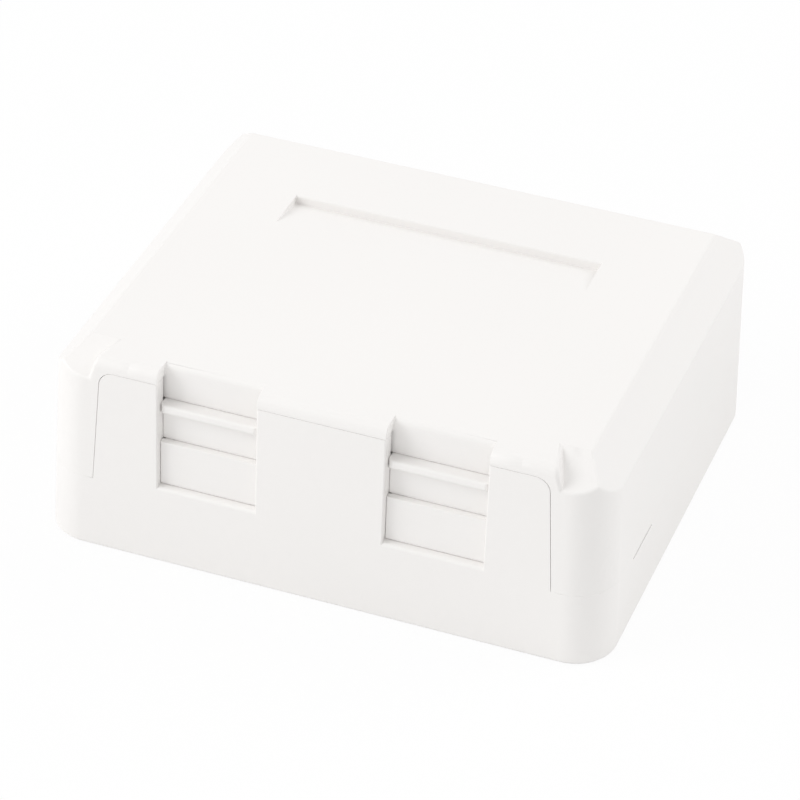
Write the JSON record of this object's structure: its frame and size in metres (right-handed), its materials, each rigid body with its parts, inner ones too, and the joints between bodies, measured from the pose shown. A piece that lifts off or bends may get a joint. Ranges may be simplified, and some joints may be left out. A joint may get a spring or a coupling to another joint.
{
  "type": "surface mount jack box",
  "caption": "Low white moulded box that screws to a wall or desk, with module ports in its front closed by blank inserts, and a hipped cover that lifts off its base.",
  "frame": {"origin": "middle of the flat underside, which lies on the wall or desk", "axes": "+X to the right seen from the front, -Y out of the ports, +Z away from the mounting surface"},
  "size_m": [0.083, 0.071, 0.0315],
  "materials": {
    "base": "satin moulded ABS",
    "cover": "satin moulded ABS",
    "left_blank": "satin moulded ABS",
    "right_blank": "satin moulded ABS"
  },
  "bodies": {
    "base": {"base": "base"},
    "cover": {"cover": "cover"},
    "left_blank": {"left_blank": "left_blank"},
    "right_blank": {"right_blank": "right_blank"}
  },
  "joints": [
    {"name": "cover_lift", "type": "slide", "parent": "base", "child": "cover", "axis": [0, 0, 1], "range_m": [0, 0.03]},
    {"name": "left_blank_pull", "type": "slide", "parent": "base", "child": "left_blank", "axis": [0, -1, 0], "range_m": [0, 0.018]},
    {"name": "right_blank_pull", "type": "slide", "parent": "base", "child": "right_blank", "axis": [0, -1, 0], "range_m": [0, 0.018]}
  ]
}
